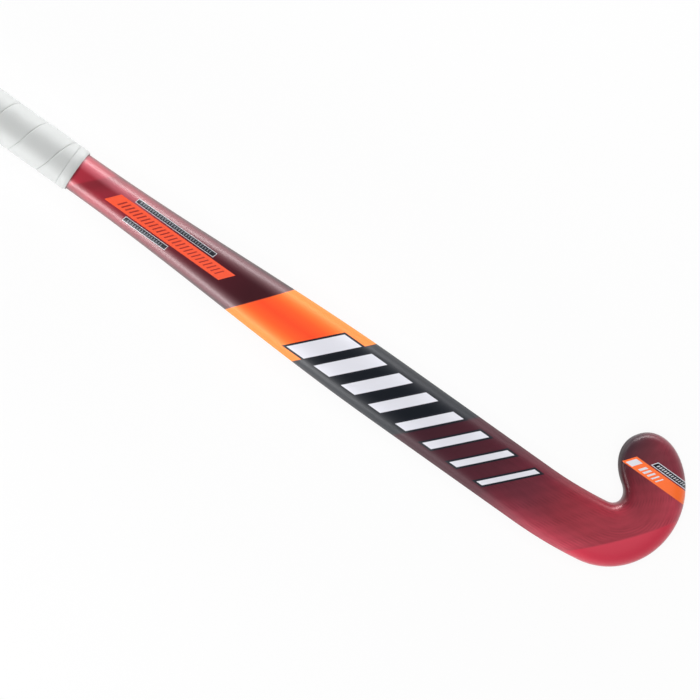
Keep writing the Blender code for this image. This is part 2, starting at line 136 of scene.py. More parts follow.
@dataclass(frozen=True)
class StickShape:
    """The path and the D-shaped section of the stick, with the sizes of the CAD part.

    A place is given by along, the distance on the path from the butt, across, to the crook's side,
    and above, the height over the flat playing side.

    Attributes:
        length: From the butt to the base.
        bow_depth: Depth of the bow towards the playing side.
        bow_peak: Distance of the bow's peak from the base.
        flat_head: Distance from the base over which the stick is straight.
        handle: Width, depth and height of the widest place of the section under the grip.
        shaft: The same on the shaft.
        heel: The same at the heel.
        toe: The same at the toe.
        grip_length: From the butt to the painted shaft.
        flare_length: Distance over which the handle widens into the shaft.
        bends: Radius and turn of the lead-in, the heel and the toe.
        toe_reach: Length of the rounded end past the toe's bend.
        shaft_crown_power: How square the back is on the shaft.
        head_crown_power: How square the back is on the head.
        toe_outline_power: How square the toe's end is from above.
        toe_crown_power: How square the toe's end is from the side.
        splice_from_base: Distance of the splice from the base.
        side_centre: Distance from the shaft's middle line to the frame's.
        cap_inset: Depth in the stick of the cap's rim, below 0 because it stands out.
    """

    length: float = 0.927
    bow_depth: float = 0.020
    bow_peak: float = 0.340
    flat_head: float = 0.100
    handle: tuple[float, float, float] = (0.031, 0.027, 0.010)
    shaft: tuple[float, float, float] = (0.0498, 0.0215, 0.0045)
    heel: tuple[float, float, float] = (0.0462, 0.0200, 0.0040)
    toe: tuple[float, float, float] = (0.0482, 0.0190, 0.0040)
    grip_length: float = 0.400
    flare_length: float = 0.285
    bends: tuple[tuple[float, float], ...] = (
        (0.340, math.radians(9.0)),
        (0.0325, math.radians(81.0)),
        (0.0363, math.radians(55.5)),
    )
    toe_reach: float = 0.0310
    shaft_crown_power: float = 2.2
    head_crown_power: float = 3.3
    toe_outline_power: float = 2.16
    toe_crown_power: float = 3.8
    splice_from_base: float = 0.200
    side_centre: float = 0.034246
    cap_inset: float = -0.0025

    @property
    def bend_places(self) -> tuple[float, float, float, float]:
        """Work out where the parts of the path end.

        Returns:
            The ends of the straight shaft, the lead-in, the heel and the toe's bend.
        """
        (lead, lead_turn), (heel, heel_turn), (toe, toe_turn) = self.bends
        first = self.length - self.heel[0] / 2 - lead * math.sin(lead_turn)
        first -= heel * (1 - math.sin(lead_turn))
        second = first + lead * lead_turn
        third = second + heel * heel_turn
        return first, second, third, third + toe * toe_turn

    def path(self, along: float) -> Place:
        """Follow the path from the butt.

        Args:
            along: Place on the path.

        Returns:
            The reach from the butt, the place to the side and how far the path has turned.
        """
        shaft_end = self.bend_places[0]
        reach, side, turned = min(along, shaft_end), 0.0, 0.0
        left = along - shaft_end
        for radius, turn in self.bends:
            if left <= 0:
                break
            part = min(left / radius, turn)
            reach += radius * (math.sin(turned + part) - math.sin(turned))
            side += radius * (math.cos(turned) - math.cos(turned + part))
            turned += part
            left -= radius * turn
        left = max(left, 0.0)
        return reach + left * math.cos(turned), side + left * math.sin(turned), turned

    def size_at(self, along: float, inset: float = 0.0) -> tuple[float, float, float, float]:
        """Return half the width, the bottom, the edge's height and the top of a skin.

        Args:
            along: Place on the path.
            inset: Depth of the skin in the stick, below 0 outside of it.

        Returns:
            Half the width, the bottom, the height at which the section is widest, and the top.
        """
        _, heel_start, heel_end, toe_start = self.bend_places
        shares = (
            ease((along - self.grip_length) / self.flare_length),
            ease((along - heel_start) / (heel_end - heel_start)),
            ease((along - heel_end) / (toe_start - heel_end)),
        )
        size = self.handle
        for share, later in zip(shares, (self.shaft, self.heel, self.toe)):
            size = tuple(mix(before, after, share) for before, after in zip(size, later))
        width, depth, level = size
        half, bottom, top = width / 2 - inset, inset, depth - inset
        past_toe_start = along - toe_start
        if past_toe_start > 0:
            reach = self.toe_reach - inset
            share = past_toe_start / reach
            half *= rounding(share, self.toe_outline_power)
            top = level + (top - level) * rounding(share, self.toe_crown_power)
            edge_start = reach - (level - inset)
            if past_toe_start > edge_start:
                share = (past_toe_start - edge_start) / (reach - edge_start)
                bottom = level - (level - inset) * rounding(share, 2)
        return half, bottom, level, top

    def crown_power(self, along: float) -> float:
        """Work out how square the rounded back is: nearly round on the shaft, flatter on the head.

        Args:
            along: Place on the path.

        Returns:
            The power of the curve over the back, 2 for an ellipse.
        """
        splice = self.length - self.splice_from_base
        near_head = ease((along - splice) / (self.bend_places[1] - splice))
        return mix(self.shaft_crown_power, self.head_crown_power, near_head)

    def section(self, along: float, inset: float, columns: Columns) -> list[tuple[float, float]]:
        """Go once round the D-shaped section, from the flat's heel side.

        Args:
            along: Place on the path.
            inset: Depth of the skin in the stick, below 0 outside of it.
            columns: How many columns the skin has.

        Returns:
            A point for each column, as (across, above).
        """
        half, bottom, level, top = self.size_at(along, inset)
        power = self.crown_power(along)
        radius = min(level - bottom, half)
        flat = half - radius
        flat_steps, edge_steps, crown_steps = columns.value
        points = [(mix(-flat, flat, step / flat_steps), bottom) for step in range(flat_steps)]
        corners = quarter(edge_steps)[:-1]
        for angle in corners:
            rise = (level - bottom) * math.cos(angle)
            points.append((flat + radius * math.sin(angle), level - rise))
        for step in range(crown_steps):
            angle = math.pi * step / crown_steps
            sideways = math.copysign(abs(math.cos(angle)) ** (2 / power), math.cos(angle))
            points.append((half * sideways, mix(level, top, math.sin(angle) ** (2 / power))))
        for angle in corners:
            rise = (level - bottom) * math.sin(angle)
            points.append((-flat - radius * math.cos(angle), level - rise))
        return points

    def bow(self, from_base: float) -> tuple[float, float]:
        """Work out how the flat side rises from the floor and falls back to it.

        Args:
            from_base: Distance from the base.

        Returns:
            The flat side's height over the floor and its slope.
        """
        edge = self.toe[2]
        slope = self.bow_depth / ((self.flat_head + self.bow_peak) / 2 - edge)
        curvature = slope / (self.bow_peak - self.flat_head)
        beyond = self.length - self.bow_peak
        drop = self.bow_depth + self.cap_inset
        bow_end = self.bow_peak + beyond - math.sqrt(beyond**2 - 2 * drop / curvature)
        bent = min(max(from_base - self.flat_head, 0.0), bow_end - self.flat_head)
        local = slope - curvature * bent
        height = slope * (min(from_base, self.flat_head) - edge) + (slope + local) / 2 * bent
        return height + local * max(from_base - bow_end, 0.0), local

    def place(self, along: float, across: float, above: float) -> Vector:
        """Find the point in space for a place on the stick.

        Args:
            along: Place on the path.
            across: Distance from the path to the crook's side.
            above: Height over the flat side.

        Returns:
            The point.
        """
        reach, side, turned = self.path(along)
        reach -= across * math.sin(turned)
        side += across * math.cos(turned)
        height, slope = self.bow(self.length - reach)
        upright = 1 / math.hypot(1, slope)
        reach += above * slope * upright
        return Vector((reach - self.length / 2, side - self.side_centre, height + above * upright))


SHAPE = StickShape()


# Meshes


def lofted(
    columns: int,
    rows: int,
    locate: Callable[[int, int], Vector],
    chart: Callable[[int, int], tuple[float, float]],
    across: Optional[Callable[[int, int], float]] = None,
) -> bmesh.types.BMesh:
    """Shape a grid into a skin, give it a chart, and close its seams and poles.

    Args:
        columns: How many faces the grid has from side to side.
        rows: How many faces it has from end to end.
        locate: Gives the point for a column and a row.
        chart: Gives the UV coordinates for a column and a row.
        across: Gives the value of the attribute of this name, where the skin has one.

    Returns:
        The skin, with normals that point outwards.
    """
    skin = bmesh.new()
    uv = skin.loops.layers.uv.new("Chart")
    layer = skin.verts.layers.float.new("across") if across else None
    bmesh.ops.create_grid(skin, x_segments=columns, y_segments=rows, size=1)
    cells = {
        vertex: (round((vertex.co.x + 1) / 2 * columns), round((vertex.co.y + 1) / 2 * rows))
        for vertex in skin.verts
    }
    for face in skin.faces:
        for loop in face.loops:
            loop[uv].uv = chart(*cells[loop.vert])
    for vertex, cell in cells.items():
        vertex.co = locate(*cell)
        if across:
            vertex[layer] = across(*cell)
    bmesh.ops.remove_doubles(skin, verts=skin.verts, dist=WELD)
    bmesh.ops.recalc_face_normals(skin, faces=skin.faces)
    return skin


def closed(skin: bmesh.types.BMesh) -> bmesh.types.BMesh:
    """Fill the open ends of a skin.

    Args:
        skin: The skin, which is changed.

    Returns:
        The same skin, with normals that point outwards.
    """
    bmesh.ops.holes_fill(skin, edges=[edge for edge in skin.edges if edge.is_boundary])
    bmesh.ops.recalc_face_normals(skin, faces=skin.faces)
    return skin


def as_object(name: str, skin: bmesh.types.BMesh, material: bpy.types.Material) -> bpy.types.Object:
    """Turn a skin into a smooth object at the origin and free the skin.

    Args:
        name: Name of the object and of its mesh.
        skin: The finished bmesh.
        material: What it is made of.

    Returns:
        The object, linked to the scene.
    """
    mesh = bpy.data.meshes.new(name)
    skin.to_mesh(mesh)
    skin.free()
    mesh.materials.append(material)
    mesh.shade_smooth()
    piece = bpy.data.objects.new(name, mesh)
    bpy.context.scene.collection.objects.link(piece)
    return piece


def hand_over(piece: bpy.types.Object, node: str) -> None:
    """Let a piece ride on the stick's body in place of its CAD node, and report it.

    Args:
        piece: The finished piece.
        node: The CAD node that it stands for.
    """
    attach(piece, BODY)
    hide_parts(node)
    log.info("%s: %d faces in place of %s", piece.name, len(piece.data.polygons), node)


# Shaders


class Signal:
    """A socket of a shader, on which arithmetic adds Math nodes."""

    def __init__(self, graph: "Graph", socket: bpy.types.NodeSocket) -> None:
        """Keep the graph and the socket."""
        self.graph = graph
        self.socket = socket

    def _math(self, operation: str, *values: Value) -> "Signal":
        """Return the result of one Math node."""
        sockets = dict(enumerate(values))
        return self.graph.node("ShaderNodeMath", {"operation": operation}, sockets)

    def __add__(self, other: Value) -> "Signal":
        """Return the sum."""
        return self._math("ADD", self, other)

    __radd__ = __add__

    def __sub__(self, other: Value) -> "Signal":
        """Return the difference."""
        return self._math("SUBTRACT", self, other)

    def __rsub__(self, other: Value) -> "Signal":
        """Return the difference from a number."""
        return self._math("SUBTRACT", other, self)

    def __mul__(self, other: Value) -> "Signal":
        """Return the product."""
        return self._math("MULTIPLY", self, other)

    __rmul__ = __mul__

    def __truediv__(self, other: Value) -> "Signal":
        """Return the quotient."""
        return self._math("DIVIDE", self, other)

    def __mod__(self, other: Value) -> "Signal":
        """Return the remainder, which is never below 0."""
        return self._math("FLOORED_MODULO", self, other)

    def __abs__(self) -> "Signal":
        """Return the size without the sign."""
        return self._math("ABSOLUTE", self)

    def floor(self) -> "Signal":
        """Return the whole number below."""
        return self._math("FLOOR", self)

    def sine(self) -> "Signal":
        """Return the sine."""
        return self._math("SINE", self)

    def at_most(self, other: Value) -> "Signal":
        """Return the smaller of two values."""
        return self._math("MINIMUM", self, other)

    def at_least(self, other: Value) -> "Signal":
        """Return the larger of two values."""
        return self._math("MAXIMUM", self, other)

    def rise(self, start: Value, end: Value) -> "Signal":
        """Return a soft step from 0 at start to 1 at end."""
        sockets = {"Value": self, "From Min": start, "From Max": end}
        return self.graph.node("ShaderNodeMapRange", {"interpolation_type": "SMOOTHSTEP"}, sockets)

    def past(self, line: Value, softness: float = 0.15) -> "Signal":
        """Return a step that is 0 before a line and 1 past it, this soft on either side."""
        return (self - line).rise(-softness, softness)

    def within(self, low: Value, high: Value, softness: float = 0.15) -> "Signal":
        """Return a mask that is 1 between two lines."""
        return self.past(low, softness) * (1 - self.past(high, softness))


class Graph:
    """The node tree of a material or of the world."""

    def __init__(self, tree: bpy.types.NodeTree) -> None:
        """Start from an empty tree."""
        self.tree = tree
        tree.nodes.clear()

    def node(
        self,
        kind: str,
        settings: Optional[dict[str, Any]] = None,
        sockets: Optional[dict[Union[int, str], Value]] = None,
        output: Union[int, str] = 0,
    ) -> Signal:
        """Add one node.

        Args:
            kind: Blender's name of the node type.
            settings: Its own settings, set before its sockets. Stops are a ramp's places and colours.
            sockets: Values or signals for its inputs, by name or number.
            output: Which output to return.

        Returns:
            The chosen output.
        """
        made = self.tree.nodes.new(kind)
        for name, value in (settings or {}).items():
            if name == "stops":
                self._set_stops(made.color_ramp, value)
            else:
                setattr(made, name, value)
        for name, value in (sockets or {}).items():
            if isinstance(value, Signal):
                self.tree.links.new(value.socket, made.inputs[name])
            else:
                made.inputs[name].default_value = value
        return Signal(self, made.outputs[output] if made.outputs else None)

    @staticmethod
    def _set_stops(ramp: bpy.types.ColorRamp, stops: Sequence[tuple[float, Colour]]) -> None:
        """Give a ramp its places and colours.

        Args:
            ramp: The ramp, which has two stops at first.
            stops: The places from 0 to 1, and their colours.
        """
        while len(ramp.elements) < len(stops):
            ramp.elements.new(1.0)
        for element, (position, colour) in zip(ramp.elements, stops):
            element.position = position
            element.color = (*colour, 1.0)

    def coordinates(self, kind: str = "Object") -> Signal:
        """Return one output of the Texture Coordinate node."""
        return self.node("ShaderNodeTexCoord", output=kind)

    def split(self, vector: Signal) -> tuple[Signal, Signal, Signal]:
        """Return the three parts of a vector."""
        parts = self.node("ShaderNodeSeparateXYZ", sockets={"Vector": vector})
        return tuple(Signal(self, socket) for socket in parts.socket.node.outputs)

    def joined(self, x: Value, y: Value, z: Value = 0.0) -> Signal:
        """Return a vector of three parts."""
        return self.node("ShaderNodeCombineXYZ", sockets={"X": x, "Y": y, "Z": z})

    def noise(self, scale: float, detail: float = 2.0, where: Optional[Signal] = None) -> Signal:
        """Return soft noise about 0.5."""
        sockets = {"Vector": where or self.coordinates(), "Scale": scale, "Detail": detail}
        return self.node("ShaderNodeTexNoise", sockets=sockets)

    def blend(self, share: Value, first: Value, second: Value) -> Signal:
        """Return a colour that turns from the first to the second."""
        sockets = {0: share, 6: opaque(first), 7: opaque(second)}
        return self.node("ShaderNodeMix", {"data_type": "RGBA"}, sockets, output=2)

    def shade(self, colour: Signal, factor: Signal) -> Signal:
        """Return a colour that is made lighter or darker by a factor."""
        sockets = {"Vector": colour, "Scale": factor}
        return self.node("ShaderNodeVectorMath", {"operation": "SCALE"}, sockets)

    def ramp(self, share: Signal, stops: Sequence[tuple[float, Colour]]) -> Signal:
        """Return a colour from a row of stops."""
        return self.node("ShaderNodeValToRGB", {"stops": stops}, {"Fac": share})

    def fade(self, value: Signal, stops: Stops) -> Signal:
        """Let a colour change with a value.

        Args:
            value: What it changes with.
            stops: Rising values and the colours there, as seen on a screen.

        Returns:
            The colour, which stays as it is before the first stop and past the last.
        """
        first, last = stops[0][0], stops[-1][0]
        length = last - first
        shares = [((stop - first) / length, srgb(*colour)) for stop, colour in stops]
        return self.ramp((value - first) / length, shares)

    def bump(self, height: Signal, depth: float, strength: float) -> Signal:
        """Return normals that follow a height, in metres once it is scaled by depth."""
        sockets = {"Height": height, "Distance": depth, "Strength": strength}
        return self.node("ShaderNodeBump", sockets=sockets)

    def surface(self, **sockets: Value) -> None:
        """Finish with a Principled surface.

        Args:
            sockets: Values or signals for its inputs. Underscores in a name stand for spaces.
        """
        named = {name.replace("_", " "): value for name, value in sockets.items()}
        shader = self.node("ShaderNodeBsdfPrincipled", sockets=named)
        self.node("ShaderNodeOutputMaterial", sockets={"Surface": shader})


def opaque(colour: Value) -> Value:
    """Return a plain colour with its alpha, and a signal as it is."""
    return colour if isinstance(colour, Signal) else (*colour, 1.0)


def new_material(name: str) -> tuple[bpy.types.Material, Graph]:
    """Start a material.

    Args:
        name: Its name.

    Returns:
        The material and the empty graph of its nodes.
    """
    material = bpy.data.materials.new(name)
    material.use_nodes = True
    return material, Graph(material.node_tree)


# Print of the sleeve, in millimetres


@dataclass(frozen=True)
class Spot:
    """A place on the sleeve.

    Attributes:
        reach: Distance from the butt.
        side: Distance from the shaft's middle line, towards the crook's side.
        rim: How far it is from the stick's own middle line, signed, 1 at the widest part.
    """

    reach: Signal
    side: Signal
    rim: Signal


@dataclass(frozen=True)
class Plate:
    """A printed parallelogram.

    Attributes:
        low: Its lower edge, to the side.
        high: Its upper edge.
        start: Where its lower edge starts.
        end: Where its lower edge ends.
        lean: How far its ends lean forwards for each millimetre to the side.
    """

    low: float
    high: float
    start: float
    end: float
    lean: float

    def past_start(self, spot: Spot) -> Signal:
        """Return how far a place lies past the plate's leaning start."""
        return spot.reach - (spot.side - self.low) * self.lean - self.start

    def slant(self, grow: float) -> float:
        """Return how far the ends move along the stick when the plate grows all round."""
        return grow * math.hypot(1, self.lean)

    def mask(self, spot: Spot, grow: float) -> Signal:
        """Mark the plate.

        Args:
            spot: The place.
            grow: How much larger the mask is than the plate, all round.

        Returns:
            1 inside and 0 outside.
        """
        wide = self.slant(grow)
        inside = self.past_start(spot).within(-wide, self.end - self.start + wide)
        return inside * spot.side.within(self.low - grow, self.high + grow)


@dataclass(frozen=True)
class Bars:
    """A row of slanted bars that get thinner towards the head.

    Attributes:
        plate: The parallelogram that the row fills.
        pitch: Distance from bar to bar.
        widest: Width of the first bar.
        thinning: How much thinner each bar is than the one before.
    """

    plate: Plate
    pitch: float
    widest: float
    thinning: float

    def mask(self, spot: Spot, grow: float) -> Signal:
        """Mark the bars.

        Args:
            spot: The place.
            grow: How much larger the mask is than the bars, all round.

        Returns:
            1 on the bars and 0 between them.
        """
        plate = self.plate
        slid = plate.past_start(spot)
        thinner = (slid / self.pitch).floor() * (self.thinning / 2)
        middle = abs(slid % self.pitch - self.pitch / 2)
        bars = 1 - middle.past(self.widest / 2 + plate.slant(grow) - thinner)
        row = slid.within(0, plate.end - plate.start)
        return bars * row * spot.side.within(plate.low - grow, plate.high + grow)


class Ink(Enum):
    """An ink, as it is seen on a screen."""

    ORANGE = (243, 80, 40)
    TANGERINE = (255, 112, 44)
    EMBER = (158, 28, 16)
    DARK = (22, 25, 34)
    GREY = (112, 116, 124)
    SILVER = (204, 204, 210)
    PALE = (218, 218, 226)


@dataclass(frozen=True)
class Print:
    """The colour blocks, plates and bars under the lacquer of the sleeve.

    Attributes:
        lean: How far the blocks' ends lean forwards for each millimetre to the side.
        softness: How soft the blocks' ends are on either side.
        waver: How far the blocks' ends waver.
        upper: Colours from the grip to the orange block; the first stop is a painted shadow line
            where the finishing tape meets the paint.
        fold: Where the slanted step under the grip lies.
        fold_fade: Where its shadow fades out.
        orange_start: Where the orange block starts.
        orange_ease: How much less than the others this end leans.
        orange_and_painted_sheen: Colours of the orange block, from its middle line to its rims, which
            grow lighter there as a painted sheen.
        black_start: Where the black block starts.
        wine_start: Where the wine block starts.
        wine_softness: How soft this end is.
        wine: Colours of the wine block.
        crimson_start: Where the head's crimson starts.
        crimson_softness: How soft this end is.
        crimson_ease: How much less than the others it leans.
        crimson_bend: How much it bends back, for each square millimetre to the side.
        title: The orange plate under the grip.
        title_ticks: The ticks on it.
        upper_tag: The narrow plate on its crook side.
        upper_ticks: The ticks on that.
        lower_tag: The narrow plate on its heel side.
        lower_ticks: The ticks on that.
        tag_border: Width of the borders of these two.
        motif: The large bars on the orange, black and wine blocks.
        motif_border: Width of their outline.
        head_band: The orange band on the head.
        head_tip: Its pale end.
        head_bars: The bars on it.
        head_tag: The plate beside it.
        head_ticks: The ticks on that.
        head_border: Width of this plate's border.
    """

    lean: float = 0.93
    softness: float = 0.5
    waver: float = 3.0
    upper: Stops = (
        # Painted shadow: a thin dark line where the finishing tape meets the paint.
        (400.2, (128, 21, 39)),
        (401.2, (166, 29, 50)),
        (412.0, (158, 26, 47)),
        (430.0, (142, 22, 42)),
        (470.0, (110, 18, 34)),
        (520.0, (78, 14, 29)),
        (560.0, (60, 11, 23)),
    )
    fold: float = 413.0
    fold_fade: Span = (417.0, 431.0)
    orange_start: float = 569.0
    orange_ease: float = 0.13
    # The block's own orange, paled towards amber at the rims as a painted sheen.
    orange_and_painted_sheen: Stops = (
        (0.0, (255, 78, 36)),
        (0.35, (255, 96, 42)),
        (0.7, (255, 128, 54)),
        (1.0, (255, 144, 62)),
    )
    black_start: float = 638.0
    wine_start: float = 734.0
    wine_softness: float = 2.0
    wine: Stops = (
        (734.0, (62, 24, 36)),
        (790.0, (80, 28, 41)),
        (822.0, (106, 36, 50)),
        (850.0, (138, 41, 54)),
        (872.0, (157, 47, 61)),
        (900.0, (161, 50, 65)),
    )
    crimson_start: float = 889.5
    crimson_softness: float = 1.2
    crimson_ease: float = 0.016
    crimson_bend: float = 0.0034
    title: Plate = Plate(-5.3, 5.0, 429.0, 535.0, 0.84)
    title_ticks: Bars = Bars(Plate(-3.0, 2.7, 438.0, 530.5, 0.84), 3.6, 1.5, 0.018)
    upper_tag: Plate = Plate(6.7, 10.1, 450.0, 521.5, 0.25)
    upper_ticks: Bars = Bars(Plate(7.5, 9.3, 452.5, 519.0, 0.25), 2.2, 1.3, 0.018)
    lower_tag: Plate = Plate(-10.3, -6.9, 449.5, 488.0, 0.25)
    lower_ticks: Bars = Bars(Plate(-9.5, -7.7, 452.0, 485.5, 0.25), 2.2, 1.3, 0.035)
    tag_border: float = 0.4
    motif: Bars = Bars(Plate(-16.5, 16.5, 602.0, 798.0, 0.93), 24.5, 16.0, 1.55)
    motif_border: float = 1.5
    head_band: Plate = Plate(60.3, 69.6, 864.9, 960.0, 0.76)
    head_tip: Plate = Plate(61.2, 68.0, 867.4, 873.4, 0.76)
    head_bars: Bars = Bars(Plate(62.1, 67.1, 877.6, 896.6, 0.76), 3.8, 2.4, 0.3)
    head_tag: Plate = Plate(71.1, 74.9, 885.4, 960.0, 0.75)
    head_ticks: Bars = Bars(Plate(72.1, 73.9, 888.0, 914.0, 0.75), 2.2, 1.2, 0.03)
    head_border: float = 0.55

    def slid(self, spot: Spot) -> Signal:
        """Return the reach as the leaning ends of the blocks measure it."""
        return spot.reach - spot.side * self.lean

    def past_orange(self, slid: Signal, spot: Spot) -> Signal:
        """Return 1 past the start of the orange block."""
        return (slid + spot.side * self.orange_ease).past(self.orange_start, self.softness)

    def past_crimson(self, slid: Signal, spot: Spot) -> Signal:
        """Return 1 past the start of the crimson."""
        bent = slid + spot.side * self.crimson_ease + spot.side * spot.side * self.crimson_bend
        return bent.past(self.crimson_start, self.crimson_softness)

    def layers(self) -> tuple[tuple[Union[Plate, Bars], float, Ink], ...]:
        """List what is printed on the blocks.

        Returns:
            Each shape with how much larger it is printed and its ink, from the lowest layer up.
        """
        return (
            (self.title, 0.0, Ink.ORANGE),
            (self.title_ticks, 0.0, Ink.EMBER),
            (self.upper_tag, self.tag_border, Ink.SILVER),
            (self.upper_tag, 0.0, Ink.DARK),
            (self.upper_ticks, 0.0, Ink.GREY),
            (self.lower_tag, self.tag_border, Ink.SILVER),
            (self.lower_tag, 0.0, Ink.DARK),
            (self.lower_ticks, 0.0, Ink.GREY),
            (self.motif, self.motif_border, Ink.DARK),
            (self.motif, 0.0, Ink.PALE),
            (self.head_band, 0.0, Ink.TANGERINE),
            (self.head_tip, 0.0, Ink.PALE),
            (self.head_bars, 0.0, Ink.PALE),
            (self.head_tag, self.head_border, Ink.PALE),
            (self.head_tag, 0.0, Ink.DARK),
            (self.head_ticks, 0.0, Ink.SILVER),
        )


@dataclass(frozen=True)
class LacquerFinish:
    """Tinted gloss lacquer over the fibre sleeve, with its print.

    Attributes:
        name: Name of the material.
        art: The print.
        under_tape: How far the paint runs on under the finishing tape.
        head: Where along the stick the head's smoother lacquer begins.
        roughness: Roughness of the lacquer on the shaft.
        head_gloss: How much smoother it is on the head.
        rim_dulling: How much rougher it is on the shaft's rims.
        metal: Share of metal flakes in the lacquer.
        coat: Weight of the coat next to the grip.
        coat_fade: Where along the stick the coat gets thinner.
        coat_loss: How much weight it loses there.
        head_coat: How much heavier the head's coat is.
        coat_roughness: Roughness of the coat.
        fold_depth: How much darker the slanted step under the grip is.
        painted_flank_highlight: How much a painted highlight pales the flanks of the upper shaft.
        painted_toe_highlight: How strongly a painted highlight pales the toe side under the grip.
        painted_toe_highlight_fade: Where along the stick this painted highlight ends.
        painted_rim_shade: How much painted shade darkens the rims of the upper shaft.
        heel_painted_sheen: How much a painted sheen pales the wine's heel side.
        heel_fade: Where along the stick this begins.
        hook: Where to the side the hook begins.
        painted_hook_shade: How much painted shade darkens the inner rim of the hook.
        dusk: Where along the stick the dark of the toe ends.
        toe_dusk: Where to the side the toe gets dark all over.
        toe_dark: How dark it gets there.
        toe_grey: Where to the side this dark gets greyer.
        fibre_start: Where along the stick the fibre begins to show.
        fibre_grain: How strong its grain is.
        band_pitch: Distance between its dark bands.
        band_depth: How strong they are.
        hatch_pitch: Distance between the bands that have strokes.
        stroke_pitch: Distance between these strokes round the stick, in metres.
        stroke_depth: How strong they are.
    """

    name: str = "lacquered_composite"
    art: Print = Print()
    under_tape: float = 4.0
    head: Span = (850.0, 885.0)
    roughness: float = 0.43
    head_gloss: float = 0.14
    rim_dulling: float = 0.35
    metal: float = 0.1
    coat: float = 0.8
    coat_fade: Span = (470.0, 830.0)
    coat_loss: float = 0.7
    head_coat: float = 0.3
    coat_roughness: float = 0.32
    fold_depth: float = 0.33
    painted_flank_highlight: float = 0.13
    painted_toe_highlight: float = 0.24
    painted_toe_highlight_fade: Span = (440.0, 500.0)
    painted_rim_shade: float = 0.5
    heel_painted_sheen: float = 0.6
    heel_fade: Span = (780.0, 870.0)
    hook: Span = (26.0, 40.0)
    painted_hook_shade: float = 0.4
    dusk: Span = (862.0, 912.0)
    toe_dusk: Span = (54.0, 72.0)
    toe_dark: float = 0.6
    toe_grey: Span = (50.0, 66.0)
    fibre_start: Span = (760.0, 800.0)
    fibre_grain: float = 0.45
    band_pitch: float = 11.5
    band_depth: float = 0.035
    hatch_pitch: float = 25.0
    stroke_pitch: float = 0.0021
    stroke_depth: float = 0.1

    def build(self) -> bpy.types.Material:
        """Paint the blocks, print on the back, and lay the gloss over all.

        Returns:
            The material.
        """
        material, graph = new_material(self.name)
        spot, art = self._spot(graph), self.art
        slid = art.slid(spot)
        colour = self._ground(graph, spot, slid)
        back = graph.split(graph.coordinates("Normal"))[2].past(0.0, 0.1)
        printed = 0.0
        for shape, grow, ink in art.layers():
            mask = shape.mask(spot, grow) * back
            colour = graph.blend(mask, colour, srgb(*ink.value))
            printed = mask.at_least(printed)
        painted = spot.reach.past(SHAPE.grip_length * MM - self.under_tape)
        colour = graph.blend(painted, srgb(196, 197, 196), colour)
        block = art.past_orange(slid, spot) * (1 - slid.past(art.black_start, art.softness))
        head = spot.reach.rise(*self.head)
        dull = abs(spot.rim).rise(0.93, 1.0) * (1 - head)
        coat = self.coat - self.coat_loss * spot.reach.rise(*self.coat_fade)
        coat = (coat + self.head_coat * head) * (1 - block)
        rough = self.roughness + 0.04 * graph.noise(900)
        graph.surface(
            Base_Color=colour,
            Metallic=(self.metal + 0.05 * block) * (1 - printed) * painted,
            Roughness=rough - self.head_gloss * head + self.rim_dulling * dull,
            Coat_Weight=coat * painted,
            Coat_Roughness=self.coat_roughness,
            Specular_IOR_Level=0.4,
            Normal=graph.bump(graph.noise(260, 1.0), 0.00001, 0.1),
        )
        return material

    @staticmethod
    def _spot(graph: Graph) -> Spot:
        """Find the place on the sleeve.

        Args:
            graph: The material's graph.

        Returns:
            The place that the material is at.
        """
        x, y, _ = graph.split(graph.coordinates())
        rim = graph.node("ShaderNodeAttribute", {"attribute_name": "across"}, output="Fac")
        return Spot((x + SHAPE.length / 2) * MM, (y + SHAPE.side_centre) * MM, rim)

    def _ground(self, graph: Graph, spot: Spot, slid: Signal) -> Signal:
        """Lay one colour block over the other, from the grip to the head.

        Args:
            graph: The material's graph.
            spot: The place.
            slid: The reach along the blocks' leaning ends.

        Returns:
            The colour under the print.
        """
        art = self.art
        lead = slid + (graph.noise(14, 1.0) - 0.5) * art.waver
        wide = abs(spot.rim)
        # The black block: its own black, lighter towards the rims as a painted sheen.
        black = graph.blend(wide.rise(0.25, 1.0), srgb(17, 22, 30), srgb(34, 37, 44))
        past_wine = lead.past(art.wine_start, art.wine_softness)
        colour = self._upper(graph, spot, slid)
        # The orange block: its own orange, with a painted sheen towards the rims.
        colour = graph.blend(art.past_orange(lead, spot), colour, graph.fade(wide, art.orange_and_painted_sheen))
        colour = graph.blend(lead.past(art.black_start, art.softness), colour, black)
        return graph.blend(past_wine, colour, self._lower(graph, spot, lead))

    def _upper(self, graph: Graph, spot: Spot, slid: Signal) -> Signal:
        """Paint the stretch from the grip to the orange block.

        Args:
            graph: The material's graph.
            spot: The place.
            slid: The reach along the blocks' leaning ends.

        Returns:
            The fading red, with the slanted step, painted highlights on the flanks and the toe side,
            and painted shade on the rims.
        """
        art, wide = self.art, abs(spot.rim)
        fold = slid.past(art.fold, 1.2) * (1 - slid.rise(*art.fold_fade))
        colour = graph.shade(graph.fade(spot.reach, art.upper), 1 - self.fold_depth * fold)
        # Painted highlight: the flanks of the upper shaft are blended towards pale pink.
        flank = wide.rise(0.35, 0.8) * (1 - 0.8 * wide.rise(0.88, 1.0))
        colour = graph.blend(flank * self.painted_flank_highlight, colour, srgb(238, 176, 184))
        # Painted highlight on the toe side near the grip, blended towards pale pink.
        toe_side = spot.rim.rise(0.12, 0.42) * (1 - wide.rise(0.5, 0.7))
        near_grip = 1 - spot.reach.rise(*self.painted_toe_highlight_fade)
        colour = graph.blend(toe_side * near_grip * self.painted_toe_highlight, colour, srgb(250, 150, 165))
        # Painted shade: the rims of the upper shaft are darkened.
        return graph.shade(colour, 1 - self.painted_rim_shade * wide.rise(0.84, 0.98))

